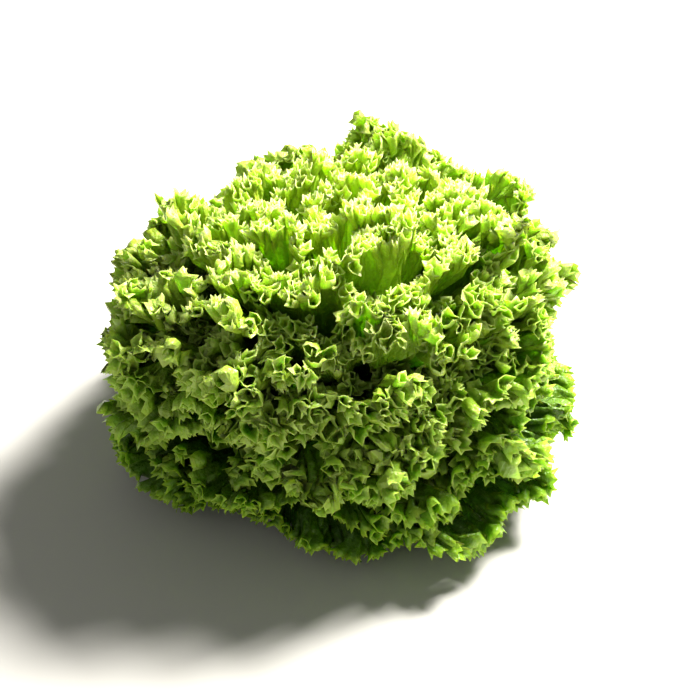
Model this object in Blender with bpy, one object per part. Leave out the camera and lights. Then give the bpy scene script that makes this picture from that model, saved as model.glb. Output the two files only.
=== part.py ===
"""Lollo bionda lettuce head, cut from its root and standing on the cut.

A short tapering stem carries the leaves in the golden-angle spiral in which they grow. Each leaf
is a solid of its own. It follows one of a nest of bowl-shaped shells, so that no leaf crosses
another, and it ends at the canopy, the domed surface of the head, in a toothed, ruffled margin.

Metres, +Z up. The origin is the centre of the cut face, and the front of the head faces -Y.
"""

import math

import bmesh
import bpy
import numpy as np
from mathutils import Vector
from mathutils.bvhtree import BVHTree

LEAF_COUNT = 58
GOLDEN_ANGLE = math.radians(137.508)
FIRST_AZIMUTH = math.radians(-100.0)
SEED = 11

# The canopy, on which the leaves end, before their frills stand out from it. A level is a
# share of the canopy, from 0 at the crown to 1 at the lowest margin.
CANOPY_RADIUS = 0.121
CANOPY_TOP = 0.173
CANOPY_FULLNESS = 2.8
WAIST_HEIGHT = 0.084
WAIST_LEVEL = 0.62
LOWEST_MARGIN = 0.010
TUCK = 0.05
CROWDING = 1.58
DROOP = math.radians(-48.0)
CROWN_SLOPE = math.radians(94.0)
LEVEL_SLOPE = 0.53
FLOOR_EASE = 0.006
RIPPLE_REACH = 0.0045
RIPPLE_LENGTH = 0.120

# The stem, from its cut face up to its tip.
STEM_HEIGHT = 0.062
STEM_RADIUS = 0.0150
STEM_TIP_RADIUS = 0.0050
STEM_TAPER = 1.6
STEM_SIDES = 24
STEM_RINGS = 8
FIRST_LEAF_HEIGHT = 0.0065
LAST_LEAF_HEIGHT = 0.058
ROOT_GAP = 0.0003
ROOT_SINK = 0.0015

# A leaf, from its root to its margin. Its frill takes the outer half of its rows.
LOW_RISE = math.radians(16.0)
HIGH_RISE = math.radians(78.0)
ROOT_PULL = 0.42
MARGIN_PULL = 0.36
OUTER_HALF_WIDTH = 0.112
INNER_HALF_WIDTH = 0.054
FULL_WIDTH_LEVEL = 0.55
WIDEST_SPREAD = math.radians(78.0)
ROOT_SPREAD = math.radians(25.0)
SPREAD_BY = 0.50
ROWS = (0.0, 0.20, 0.36, 0.52, 0.70, 0.87, 1.0)
DOUBLED_ROWS = (0.36, 0.87)
FOLDED_ROWS = 0.80
ROW_SLACK = 0.01
SHOULDER = 0.17
CORNER = 0.20
CORNER_WEIGHT = 1.0
PLAIN_CORNER = 3
MARGIN_STEPS = 201
LENGTH_SPAN = (-0.008, 0.005)
SKEW = 0.012
OUTLINE_WAVES = ((1.3, 0.006), (2.4, 0.004), (4.1, 0.003))
BLADE_THICKNESS = 0.0007
RIB_THICKNESS = 0.0020
SHARPEST = 2.0

# The waves of the frill; each pair is for the heart and for the outside of the head.
FRILL_DEPTH = (0.036, 0.046)
WAVE_LENGTH = (0.026, 0.032)
WAVE_DEPTH = 0.28
WAVE_REACH = 0.70
ROOM_SHARE = 0.35
LOBE_REACH = (0.0025, 0.0045)
TOOTH_LENGTH = 0.0050
FULL_GROWN_LEVEL = 0.6
OPEN_ROOM = 0.040
COVER_ANGLE = math.radians(6.0)
NEIGHBOURS = 21
TRIES = 60
EASING = 0.97

# Where the canopy is dented: azimuth and level of the middle, radius and depth.
HOLLOWS = (
    (math.radians(-98.0), 0.17, 0.015, 0.012),
    (math.radians(-71.0), 0.09, 0.011, 0.009),
    (math.radians(-32.0), 0.04, 0.011, 0.009),
    (math.radians(-162.0), 0.14, 0.013, 0.012),
    (math.radians(-139.0), 0.30, 0.014, 0.012),
    (math.radians(-89.0), 0.37, 0.014, 0.012),
    (math.radians(-57.0), 0.20, 0.010, 0.008),
    (math.radians(125.0), 0.25, 0.050, 0.012),
)

# How the nest is bent out of true: it is stiff near the stem and free from there on outwards.
STIFF_RADIUS = 0.020
FREE_WITHIN = 0.080
FREE_HEIGHT = 0.060
LOW_HEIGHT = 0.120
LOW_OVAL = 0.095
LOW_NARROWING = 0.030
SIDE_NARROWING = 0.004
FLUTES = (5, 0.025, 1.1, 18.0)
LOW_SHIFT = (0.004, 0.006)

# How the margins rise and sink round the head: turns, reach, and where they start and turn to.
LIFTS = ((3, 0.0070, 0.8, 14.0), (7, 0.0050, 2.1, -20.0))

# Where the head swells or narrows: azimuth and height of the middle, how far round and how far
# up it reaches, and the share of its radius that the head gains there.
BULGES = (
    (math.radians(-151.0), 0.018, math.radians(20.0), 0.026, 0.11),
    (math.radians(-162.0), 0.085, math.radians(26.0), 0.040, -0.07),
    (math.radians(-58.0), 0.018, math.radians(18.0), 0.030, 0.19),
    (math.radians(-26.0), 0.032, math.radians(22.0), 0.032, 0.19),
    (math.radians(-98.0), 0.012, math.radians(26.0), 0.025, 0.08),
    (math.radians(-6.0), 0.082, math.radians(20.0), 0.040, -0.18),
    (math.radians(22.0), 0.130, math.radians(20.0), 0.040, 0.03),
    (math.radians(6.0), 0.147, math.radians(14.0), 0.030, 0.15),
    (math.radians(56.0), 0.142, math.radians(17.0), 0.030, 0.26),
    (math.radians(151.0), 0.135, math.radians(18.0), 0.032, 0.13),
    (math.radians(90.0), 0.168, math.radians(30.0), 0.030, -0.27),
)


def mix(first, second, share):
    return first + (second - first) * share


def eased(share):
    """A share that is level at 0 and at 1."""
    held = np.clip(share, 0.0, 1.0)
    return held * held * (3.0 - 2.0 * held)


def stem_radius(height):
    """Radius of the stem at a height above its cut face."""
    share = min(max(height / STEM_HEIGHT, 0.0), 1.0)
    return mix(STEM_RADIUS, STEM_TIP_RADIUS, share**STEM_TAPER)


def canopy_point(level):
    """Radius and height of the canopy at a level."""
    if level < WAIST_LEVEL:
        cosine = 1 - level / WAIST_LEVEL
        return np.array([
            CANOPY_RADIUS * (1 - cosine**CANOPY_FULLNESS) ** 0.5,
            mix(WAIST_HEIGHT, CANOPY_TOP, cosine),
        ])
    below = (level - WAIST_LEVEL) / (1 - WAIST_LEVEL)
    return np.array([
        CANOPY_RADIUS * (1 - TUCK * below**2),
        mix(WAIST_HEIGHT, LOWEST_MARGIN, below),
    ])


def margin_slope(level):
    """Angle above the horizontal at which a leaf reaches the canopy."""
    if level < LEVEL_SLOPE:
        return CROWN_SLOPE * (1 - level / LEVEL_SLOPE) ** 0.9
    return DROOP * ((level - LEVEL_SLOPE) / (1 - LEVEL_SLOPE)) ** 0.8


class Shell:
    """The bowl-shaped surface that one leaf follows, as the curve that turns round the stem."""

    def __init__(self, index):
        share = index / (LEAF_COUNT - 1)
        self.level = ((LEAF_COUNT - index) / LEAF_COUNT) ** CROWDING
        self.azimuth = FIRST_AZIMUTH + index * GOLDEN_ANGLE
        height = mix(FIRST_LEAF_HEIGHT, LAST_LEAF_HEIGHT, share)
        rise = mix(LOW_RISE, HIGH_RISE, share**0.8)
        slope = margin_slope(self.level)
        self.root = np.array([stem_radius(height) - ROOT_SINK, height])
        self.end = canopy_point(self.level)
        self.length = float(np.linalg.norm(self.end - self.root))
        leave = np.array([math.cos(rise), math.sin(rise)])
        arrive = np.array([math.cos(slope), math.sin(slope)])
        self.first = self.root + leave * self.length * ROOT_PULL
        self.second = self.end - arrive * self.length * MARGIN_PULL
        grown = min(self.level / FULL_WIDTH_LEVEL, 1.0)
        self.half_width = mix(INNER_HALF_WIDTH, OUTER_HALF_WIDTH, grown)
        self.spread = min(self.half_width / self.end[0], WIDEST_SPREAD)

    def point(self, along):
        """Rows of radius and height at shares of the leaf's length."""
        along = np.asarray(along, float)[:, None]
        back = 1 - along
        return (
            back**3 * self.root
            + 3 * back**2 * along * self.first
            + 3 * back * along**2 * self.second
            + along**3 * self.end
        )

    def inward(self, along):
        """Unit vectors across the shell, towards the heart of the head."""
        along = np.asarray(along, float)[:, None]
        back = 1 - along
        tangent = (
            back**2 * (self.first - self.root)
            + 2 * back * along * (self.second - self.first)
            + along**2 * (self.end - self.second)
        )
        tangent = tangent / np.linalg.norm(tangent, axis=1, keepdims=True)
        return np.stack([-tangent[:, 1], tangent[:, 0]], axis=1)

    def half_angle(self, along):
        """Half the angle that the leaf spans round the stem at a share of its length."""
        return mix(ROOT_SPREAD, self.spread, np.minimum(along / SPREAD_BY, 1.0))


SHELLS = [Shell(index) for index in range(LEAF_COUNT)]


def room_beside(index, side, across, along):
    """Distance across the shell to the nearest leaf out (-1) or in (+1) that covers each place."""
    shell = SHELLS[index]
    azimuth = shell.azimuth + across * shell.half_angle(along)
    here = shell.point(along)
    way = shell.inward(along)
    room = np.full(len(along), OPEN_ROOM)
    for other in range(index + side, index + side * (NEIGHBOURS + 1), side):
        if not 0 <= other < LEAF_COUNT:
            break
        beside = SHELLS[other]
        apart = np.abs(((beside.point(along) - here) * way).sum(axis=1))
        turn = np.abs((azimuth - beside.azimuth + math.pi) % (2 * math.pi) - math.pi)
        uncovered = np.clip((turn - beside.spread) / COVER_ANGLE, 0, 1)
        room = np.minimum(room, apart + uncovered * OPEN_ROOM)
    return room


def hollow_depth(azimuth, level):
    """How far the canopy is dented at each azimuth."""
    radius, height = canopy_point(level)
    depth = np.zeros_like(azimuth)
    for middle, at_level, size, deepest in HOLLOWS:
        other, other_height = canopy_point(at_level)
        gap = radius**2 + other**2 - 2 * radius * other * np.cos(azimuth - middle)
        gap += (height - other_height) ** 2
        depth += deepest * np.exp(-gap / size**2)
    return depth


def bulge(turn, height):
    """Share of its radius that the head gains at azimuths and heights."""
    gained = np.zeros_like(turn)
    for azimuth, middle, wide, tall, share in BULGES:
        apart = (turn - azimuth + math.pi) % (2 * math.pi) - math.pi
        gained += share * np.exp(-((apart / wide) ** 2) - ((height - middle) / tall) ** 2)
    return gained


def settle(points):
    """Bends the whole nest of leaves out of true, as a head grows, without crossing its shells."""
    x, y, z = points.T
    radius = np.hypot(x, y)
    turn = np.arctan2(y, x)
    outward = np.clip((radius - STIFF_RADIUS) / FREE_WITHIN, 0, 1) ** 1.5
    clear = np.clip(z / FREE_HEIGHT, 0, 1)
    low = 1 - np.clip(z / LOW_HEIGHT, 0, 1)
    lift = sum(
        reach * np.sin(turns * turn + start + twist * z) for turns, reach, start, twist in LIFTS
    )
    flutes, depth, start, twist = FLUTES
    swell = 1 + outward * (
        bulge(turn, z)
        + low * (LOW_OVAL * np.cos(2 * turn) - LOW_NARROWING)
        - SIDE_NARROWING * np.cos(turn)
        + depth * np.sin(flutes * turn + start + twist * z)
    )
    free = RIPPLE_REACH * clear * outward
    rate = 2 * math.pi / RIPPLE_LENGTH
    x, y, z = (
        x + free * np.sin(rate * (y + 0.6 * z)),
        y + free * np.sin(rate * (z - 0.5 * x) + 2.1),
        z + 0.7 * free * np.sin(rate * (x + 0.7 * y) + 4.0),
    )
    risen = z + lift * outward * clear
    laid = (risen + np.hypot(risen, FLOOR_EASE)) / 2
    return np.stack([
        x * swell + LOW_SHIFT[0] * low**2 * outward,
        y * swell + LOW_SHIFT[1] * low**2 * outward,
        mix(risen, laid, outward),
    ], axis=1)


def full_length(across, calm=1.0):
    """Share of its length that a leaf has at shares of its half width."""
    away = np.abs(across)
    return 1 - SHOULDER * away**3 - CORNER * calm * away**7


class Leaf:
    """One leaf: its shell, and what chance gives its outline and the waves of its frill."""

    def __init__(self, index):
        shell = SHELLS[index]
        draw = np.random.default_rng(SEED * 1000 + index)
        grown = min(shell.level / FULL_GROWN_LEVEL, 1.0)
        self.index = index
        self.shell = shell
        self.frill_share = min(mix(*FRILL_DEPTH, grown) / shell.length, 0.5)
        self.margin, self.margin_length = self.measured_margin()
        self.waves = 2 * max(round(self.margin_length / mix(*WAVE_LENGTH, grown) / 2), 2)
        steps = draw.uniform(0.65, 1.35, self.waves)
        self.wave_ends = np.concatenate([[0.0], np.cumsum(steps)]) / steps.sum()
        self.wave_depths = draw.uniform(0.6, 1.2, 2 * self.waves + 1)
        self.lobes = draw.uniform(-1, 1, 2 * self.waves + 1) * mix(*LOBE_REACH, grown)
        self.length_change = draw.uniform(*LENGTH_SPAN) * mix(0.5, 1.0, grown)
        self.skew = draw.uniform(-SKEW, SKEW) * mix(0.4, 1.0, grown)
        self.outline = draw.uniform(0, 2 * math.pi, len(OUTLINE_WAVES))

    def measured_margin(self):
        """Shares of the half width at even steps along the margin, and the margin's length."""
        across = np.linspace(-1, 1, MARGIN_STEPS)
        aside = across * self.shell.spread * self.shell.end[0]
        ahead = full_length(across) * self.shell.length * CORNER_WEIGHT
        run = np.concatenate([[0.0], np.cumsum(np.hypot(np.diff(aside), np.diff(ahead)))])
        return np.interp(np.linspace(0, run[-1], MARGIN_STEPS), run, across), float(run[-1])

    def reach(self, across, azimuth, lobe, calm):
        """Share of its length that the leaf reaches, with its lobes and the canopy's hollows."""
        change = self.length_change + self.skew * across + lobe * calm
        for (turns, reach), phase in zip(OUTLINE_WAVES, self.outline):
            change = change + reach * np.sin(across * math.pi * turns + phase)
        change = change - hollow_depth(azimuth, self.shell.level)
        return full_length(across, calm) + change / self.shell.length

    def place(self, column, lengthways, calm):
        """Points of the leaf at columns, two to a wave, and at shares of its rows."""
        shell = self.shell
        along_margin = np.interp(column / 2, np.arange(self.waves + 1), self.wave_ends)
        across = np.interp(along_margin, np.linspace(0, 1, MARGIN_STEPS), self.margin)
        frilled = np.maximum(lengthways * 2 - 1, 0)
        share = np.minimum(lengthways * 2, 1) * (1 - self.frill_share) + frilled * self.frill_share
        azimuth = shell.azimuth + across * shell.half_angle(share)
        plain = 1 - np.abs(across) ** PLAIN_CORNER
        lobe = self.lobes[column] * plain + TOOTH_LENGTH * (lengthways == 1.0)
        along = share * self.reach(across, azimuth, lobe * frilled**2, calm)
        inward = column % 2 == 0
        room = np.where(inward, room_beside(self.index, 1, across, along),
                        room_beside(self.index, -1, across, along))
        span = np.interp(column / 2, np.arange(self.waves + 1), np.gradient(self.wave_ends))
        span *= self.margin_length * shell.half_angle(share) / shell.spread
        inset = (1 - frilled) * self.frill_share * shell.length
        flare = 0.85 * np.exp(-inset / (WAVE_REACH * self.margin_length / self.waves))
        flare += 0.15 * eased(share)
        depth = np.minimum(self.wave_depths[column] * WAVE_DEPTH * span, ROOM_SHARE * room)
        swing = depth * flare * calm * plain * np.where(inward, 1, -1) * (lengthways > FOLDED_ROWS)
        curve = shell.point(along) + shell.inward(along) * swing[:, None]
        return settle(np.stack([
            curve[:, 0] * np.cos(azimuth), curve[:, 0] * np.sin(azimuth), curve[:, 1],
        ], axis=1))


def flat_leaf(waves):
    """A flat leaf, across from -1 to 1 and along from 0 to 1, with finer columns at its margin."""
    mesh = bmesh.new()
    bands = len(ROWS) - 1
    bmesh.ops.create_grid(mesh, x_segments=waves // 2, y_segments=bands, size=1.0)
    for vert in mesh.verts:
        vert.co.y = ROWS[round((vert.co.y + 1) / 2 * bands)]
    for start in DOUBLED_ROWS:
        finer = [
            edge for edge in mesh.edges
            if edge.verts[0].co.y == edge.verts[1].co.y and edge.verts[0].co.y > start - ROW_SLACK
        ]
        bmesh.ops.subdivide_edges(mesh, edges=finer, cuts=1, use_grid_fill=True)
    bmesh.ops.triangulate(mesh, faces=mesh.faces[:], quad_method="ALTERNATE")
    return mesh


def bend_leaf(leaf, mesh, attempt):
    """Bends the flat mesh into the leaf, each attempt a little calmer."""
    column = np.array([round((vert.co.x + 1) * leaf.waves) for vert in mesh.verts])
    lengthways = np.array([min(ROWS, key=lambda row: abs(row - vert.co.y)) for vert in mesh.verts])
    for vert, point in zip(mesh.verts, leaf.place(column, lengthways, EASING**attempt)):
        vert.co = point


def thicken(mesh, flat, rib_thickness):
    """Turns the leaf's surface into a solid, thick along its rib and thin at its margin."""
    half = mesh.verts.layers.float_vector.new("half_thickness")
    mesh.normal_update()
    for vert, (across, along) in zip(mesh.verts, flat):
        rib = rib_thickness * max(1 - along / 0.75, 0.0) * (1 - 0.55 * across**2)
        blade = BLADE_THICKNESS * min(vert.calc_shell_factor(), SHARPEST)
        vert[half] = vert.normal * max(rib, blade) / 2
    made = bmesh.ops.extrude_face_region(mesh, geom=mesh.faces[:], use_keep_orig=True)
    front = {item for item in made["geom"] if isinstance(item, bmesh.types.BMVert)}
    for vert in mesh.verts:
        vert.co += vert[half] * (1 if vert in front else -1)
    rim = [face for face in mesh.faces if len(face.verts) > 3]
    bmesh.ops.triangulate(mesh, faces=rim, quad_method="SHORT_EDGE")
    bmesh.ops.recalc_face_normals(mesh, faces=mesh.faces[:])


def crosses_itself(mesh):
    """Whether faces of the leaf that share no corner meet."""
    tree = BVHTree.FromBMesh(mesh)
    corners = [set(face.verts) for face in mesh.faces]
    return any(not corners[one] & corners[other] for one, other in tree.overlap(tree))


def grown_leaf(index):
    """The first leaf of several tries, each a little calmer, whose folds stay clear of it."""
    leaf = Leaf(index)
    for attempt in range(TRIES):
        mesh = flat_leaf(leaf.waves)
        flat = [(vert.co.x, vert.co.y) for vert in mesh.verts]
        bend_leaf(leaf, mesh, attempt)
        thicken(mesh, flat, RIB_THICKNESS * mix(0.4, 1.0, leaf.shell.level))
        mesh.faces.ensure_lookup_table()
        if not crosses_itself(mesh):
            return mesh
        mesh.free()
    raise RuntimeError(f"leaf {index} crosses itself")


def add_object(name, mesh, collection, material):
    data = bpy.data.meshes.new(name)
    mesh.to_mesh(data)
    mesh.free()
    data.materials.append(material)
    built = bpy.data.objects.new(name, data)
    collection.objects.link(built)
    return built


def build_leaf(index, collection, material, stem_room):
    leaf = add_object(f"leaf_{index + 1:02d}", grown_leaf(index), collection, material)
    cut = leaf.modifiers.new("meet_stem", "BOOLEAN")
    cut.operation = "DIFFERENCE"
    cut.solver = "EXACT"
    cut.object = stem_room


def turned_stem(swell):
    """The stem turned from its profile, or, with swell, the room that the roots leave round it."""
    mesh = bmesh.new()
    heights = [STEM_HEIGHT * ring / STEM_RINGS for ring in range(STEM_RINGS + 1)]
    profile = [Vector((stem_radius(height) + swell, 0, height)) for height in heights]
    profile[0].z -= swell
    profile[-1].z += swell
    profile.insert(0, Vector((0, 0, profile[0].z)))
    profile.append(Vector((0, 0, profile[-1].z)))
    verts = [mesh.verts.new(point) for point in profile]
    edges = [mesh.edges.new(pair) for pair in zip(verts, verts[1:])]
    bmesh.ops.spin(
        mesh, geom=verts + edges, axis=(0, 0, 1), cent=(0, 0, 0), steps=STEM_SIDES,
        angle=2 * math.pi, use_merge=True,
    )
    bmesh.ops.remove_doubles(mesh, verts=mesh.verts[:], dist=1e-6)
    bmesh.ops.recalc_face_normals(mesh, faces=mesh.faces[:])
    return mesh


def plain_material(name, colour, roughness):
    material = bpy.data.materials.new(name)
    material.use_nodes = True
    shader = material.node_tree.nodes["Principled BSDF"]
    shader.inputs["Base Color"].default_value = (*colour, 1.0)
    shader.inputs["Roughness"].default_value = roughness
    shader.inputs["Metallic"].default_value = 0.0
    material.diffuse_color = (*colour, 1.0)
    return material


def main():
    for old in list(bpy.data.objects):
        bpy.data.objects.remove(old)
    head = bpy.data.collections.new("lettuce_head")
    cutters = bpy.data.collections.new("cutters")
    bpy.context.scene.collection.children.link(head)
    bpy.context.scene.collection.children.link(cutters)
    leaf_green = plain_material("leaf_green", (0.33, 0.56, 0.05), 0.45)
    stem_cream = plain_material("stem_cream", (0.72, 0.76, 0.48), 0.50)
    add_object("stem", turned_stem(0.0), head, stem_cream)
    stem_room = add_object("stem_room", turned_stem(ROOT_GAP), cutters, stem_cream)
    stem_room.hide_render = True
    stem_room.display_type = "WIRE"
    for index in range(LEAF_COUNT):
        build_leaf(index, head, leaf_green, stem_room)


if __name__ == "__main__":
    main()
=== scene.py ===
"""Looks of a lollo bionda lettuce head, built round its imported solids.

Each leaf of the frame is replaced by a finer one that grows on the same shell of the head, with
folded, toothed frills round its margin. The stem gets its leaf scars and its cut face.
"""

import logging
import math
from dataclasses import dataclass
from enum import Enum
from typing import ClassVar

import bmesh
import bpy
import numpy as np
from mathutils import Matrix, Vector

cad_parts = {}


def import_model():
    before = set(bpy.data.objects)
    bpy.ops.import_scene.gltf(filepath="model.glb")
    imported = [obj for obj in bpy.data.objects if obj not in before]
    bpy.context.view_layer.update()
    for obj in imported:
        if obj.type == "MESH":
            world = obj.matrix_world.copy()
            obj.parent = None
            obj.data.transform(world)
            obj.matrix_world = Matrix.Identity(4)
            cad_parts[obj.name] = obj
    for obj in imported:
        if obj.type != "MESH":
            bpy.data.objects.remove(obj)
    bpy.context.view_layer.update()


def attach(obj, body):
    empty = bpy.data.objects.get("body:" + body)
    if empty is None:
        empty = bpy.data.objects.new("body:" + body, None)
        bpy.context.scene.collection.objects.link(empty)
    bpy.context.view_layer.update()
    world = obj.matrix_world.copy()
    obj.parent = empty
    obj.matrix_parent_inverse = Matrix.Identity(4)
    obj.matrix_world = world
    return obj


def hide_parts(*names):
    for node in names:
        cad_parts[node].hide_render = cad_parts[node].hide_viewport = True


log = logging.getLogger("lettuce")

GOLDEN_ANGLE = math.radians(137.508)
LEAF_COUNT = 58
SEED = 11

# Keeps a length from being nothing where it divides.
LEAST_LENGTH = 1e-12

Amount = float | np.ndarray
Triple = tuple[float, float, float]
Value = bpy.types.NodeSocket | float | Triple


def mix(first: Amount, second: Amount, share: Amount) -> Amount:
    """Returns the value a share of the way from first to second."""
    return first + (second - first) * share


def smooth(share: np.ndarray) -> np.ndarray:
    """Returns an eased share, level at 0 and at 1."""
    held = np.clip(share, 0.0, 1.0)
    return held * held * (3.0 - 2.0 * held)


class Part(Enum):
    """Names for the material slots."""

    LEAF = "leaf_green"
    STEM = "stem_cream"


@dataclass(frozen=True)
class Dent:
    """A hollow in the canopy.

    Args:
        azimuth: where its middle is round the head, in radians.
        level: where its middle is on the canopy, 0 at the crown and 1 at the lowest margin.
        size: its radius in metres.
        depth: how far it goes in, in metres.
    """

    azimuth: float
    level: float
    size: float
    depth: float


@dataclass(frozen=True)
class Bulge:
    """A place where the head swells, or narrows.

    Args:
        azimuth: where its middle is round the head, in radians.
        height: how high its middle is, in metres.
        wide: how far round it reaches, in radians.
        tall: how far up and down it reaches, in metres.
        share: the share of its radius that the head gains there.
    """

    azimuth: float
    height: float
    wide: float
    tall: float
    share: float


@dataclass(frozen=True)
class Wave:
    """A wave that runs round the head.

    Args:
        turns: how many times it swings in one turn of the head.
        reach: how far it swings to each side, in metres or as a share.
        start: where it starts, in radians.
        twist: how far it turns with the height, in radians a metre.
    """

    turns: int
    reach: float
    start: float
    twist: float

    def at(self, turn: np.ndarray, height: np.ndarray) -> np.ndarray:
        """Returns its swing in each direction and at each height."""
        return self.reach * np.sin(self.turns * turn + self.start + self.twist * height)


@dataclass(frozen=True)
class Canopy:
    """The domed surface on which the leaves end, and how the whole head is bent out of true.

    Lengths are in metres and angles in radians. A level is 0 at the crown and 1 at the lowest
    margin. An ease is the power by which a share rises.

    The lifts and the flutes are waves round the head: how often they turn, how far they reach,
    where they start and how they twist with the height. A ripple has a reach and a length. It
    slants across the three axes, and starts in another place on the second and the third.
    """

    radius: float = 0.121
    top: float = 0.173
    fullness: float = 2.8
    waist_height: float = 0.084
    waist_level: float = 0.62
    lowest_margin: float = 0.010
    tuck: float = 0.05
    droop: float = math.radians(-48.0)
    droop_ease: float = 0.8
    crown_slope: float = math.radians(94.0)
    crown_ease: float = 0.9
    level_slope: float = 0.53
    floor_ease: float = 0.006
    stiff_radius: float = 0.020
    free_within: float = 0.080
    free_ease: float = 1.5
    free_height: float = 0.060
    low_height: float = 0.120
    low_oval: float = 0.095
    low_narrowing: float = 0.030
    low_shift: tuple[float, float] = (0.004, 0.006)
    side_narrowing: float = 0.004
    lifts: tuple[Wave, ...] = (Wave(3, 0.0070, 0.8, 14.0), Wave(7, 0.0050, 2.1, -20.0))
    flutes: Wave = Wave(5, 0.025, 1.1, 18.0)
    ripples: tuple[tuple[float, float], ...] = (
        (0.0045, 0.120),
        (0.0050, 0.052),
        (0.0028, 0.024),
        (0.0012, 0.012),
    )
    ripple_slants: Triple = (0.6, -0.5, 0.7)
    ripple_starts: tuple[float, float] = (2.1, 4.0)
    ripple_rise: float = 0.7
    dents: tuple[Dent, ...] = (
        Dent(math.radians(-98.0), 0.17, 0.015, 0.012),
        Dent(math.radians(-71.0), 0.09, 0.011, 0.009),
        Dent(math.radians(-32.0), 0.04, 0.011, 0.009),
        Dent(math.radians(-162.0), 0.14, 0.013, 0.012),
        Dent(math.radians(-139.0), 0.30, 0.014, 0.012),
        Dent(math.radians(-89.0), 0.37, 0.014, 0.012),
        Dent(math.radians(-57.0), 0.20, 0.010, 0.008),
        Dent(math.radians(125.0), 0.25, 0.050, 0.012),
    )
    bulges: tuple[Bulge, ...] = (
        Bulge(math.radians(-151.0), 0.018, math.radians(20.0), 0.026, 0.11),
        Bulge(math.radians(-162.0), 0.085, math.radians(26.0), 0.040, -0.07),
        Bulge(math.radians(-58.0), 0.018, math.radians(18.0), 0.030, 0.19),
        Bulge(math.radians(-26.0), 0.032, math.radians(22.0), 0.032, 0.19),
        Bulge(math.radians(-98.0), 0.012, math.radians(26.0), 0.025, 0.08),
        Bulge(math.radians(-6.0), 0.082, math.radians(20.0), 0.040, -0.18),
        Bulge(math.radians(22.0), 0.130, math.radians(20.0), 0.040, 0.03),
        Bulge(math.radians(6.0), 0.147, math.radians(14.0), 0.030, 0.15),
        Bulge(math.radians(56.0), 0.142, math.radians(17.0), 0.030, 0.26),
        Bulge(math.radians(151.0), 0.135, math.radians(18.0), 0.032, 0.13),
        Bulge(math.radians(90.0), 0.168, math.radians(30.0), 0.030, -0.27),
    )

    def point(self, level: float) -> np.ndarray:
        """Finds the canopy at a level.

        Args:
            level: share of the canopy, from the crown down.

        Returns:
            Radius and height there.
        """
        if level < self.waist_level:
            cosine = 1 - level / self.waist_level
            radius = self.radius * (1 - cosine**self.fullness) ** 0.5
            return np.array([radius, mix(self.waist_height, self.top, cosine)])
        below = (level - self.waist_level) / (1 - self.waist_level)
        radius = self.radius * (1 - self.tuck * below**2)
        return np.array([radius, mix(self.waist_height, self.lowest_margin, below)])

    def slope(self, level: float) -> float:
        """Finds how steeply a leaf reaches the canopy.

        Args:
            level: share of the canopy, from the crown down.

        Returns:
            The angle above the horizontal.
        """
        if level < self.level_slope:
            return self.crown_slope * (1 - level / self.level_slope) ** self.crown_ease
        below = (level - self.level_slope) / (1 - self.level_slope)
        return self.droop * below**self.droop_ease

    def dented(self, azimuth: np.ndarray, level: float) -> np.ndarray:
        """Finds how far the canopy is dented.

        Args:
            azimuth: directions round the head.
            level: the level at which they are read.

        Returns:
            The depth of the dents in each direction.
        """
        radius, height = self.point(level)
        depth = np.zeros_like(azimuth)
        for dent in self.dents:
            other, other_height = self.point(dent.level)
            gap = (
                radius**2 + other**2 - 2 * radius * other * np.cos(azimuth - dent.azimuth)
                + (height - other_height) ** 2
            )
            depth += dent.depth * np.exp(-gap / dent.size**2)
        return depth

    def bulged(self, turn: np.ndarray, height: np.ndarray) -> np.ndarray:
        """Finds how the head swells.

        Args:
            turn: directions round the head.
            height: heights.

        Returns:
            The share of its radius that the head gains at each place.
        """
        gained = np.zeros_like(turn)
        for bulge in self.bulges:
            apart = (turn - bulge.azimuth + np.pi) % (2 * np.pi) - np.pi
            up = (height - bulge.height) / bulge.tall
            gained += bulge.share * np.exp(-((apart / bulge.wide) ** 2) - up**2)
        return gained

    def settle(self, points: np.ndarray) -> np.ndarray:
        """Bends the nest of leaves out of true, as a head grows, without crossing its shells.

        Args:
            points: x, y and z along the last axis.

        Returns:
            The same points where they settle.
        """
        x, y, z = np.moveaxis(points, -1, 0)
        radius = np.hypot(x, y)
        turn = np.arctan2(y, x)
        outward = np.clip((radius - self.stiff_radius) / self.free_within, 0, 1)
        outward = outward**self.free_ease
        clear = np.clip(z / self.free_height, 0, 1)
        low = 1 - np.clip(z / self.low_height, 0, 1)
        lift = sum(wave.at(turn, z) for wave in self.lifts)
        swell = 1 + outward * (
            self.bulged(turn, z)
            + low * (self.low_oval * np.cos(2 * turn) - self.low_narrowing)
            - self.side_narrowing * np.cos(turn)
            + self.flutes.at(turn, z)
        )
        shift_x, shift_y = (shift * low**2 * outward for shift in self.low_shift)
        slant_x, slant_y, slant_z = self.ripple_slants
        start_y, start_z = self.ripple_starts
        for step, (reach, wave) in enumerate(self.ripples):
            rate = 2 * np.pi / wave
            free = reach * clear * outward
            x, y, z = (
                x + free * np.sin(rate * (y + slant_x * z) + step),
                y + free * np.sin(rate * (z + slant_y * x) + start_y + step),
                z + self.ripple_rise * free * np.sin(rate * (x + slant_z * y) + start_z + step),
            )
        risen = z + lift * outward * clear
        laid = (risen + np.hypot(risen, self.floor_ease)) / 2
        settled = [x * swell + shift_x, y * swell + shift_y, mix(risen, laid, outward)]
        return np.stack(settled, axis=-1)


@dataclass(frozen=True)
class StemShape:
    """The tapering stem, from its cut face up to its tip."""

    height: float = 0.062
    radius: float = 0.0150
    tip_radius: float = 0.0050
    taper: float = 1.6
    first_leaf: float = 0.0065
    last_leaf: float = 0.058

    def radius_at(self, height: float) -> float:
        """Returns the stem's radius at a height above its cut face."""
        share = min(max(height / self.height, 0.0), 1.0)
        return mix(self.radius, self.tip_radius, share**self.taper)


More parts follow.
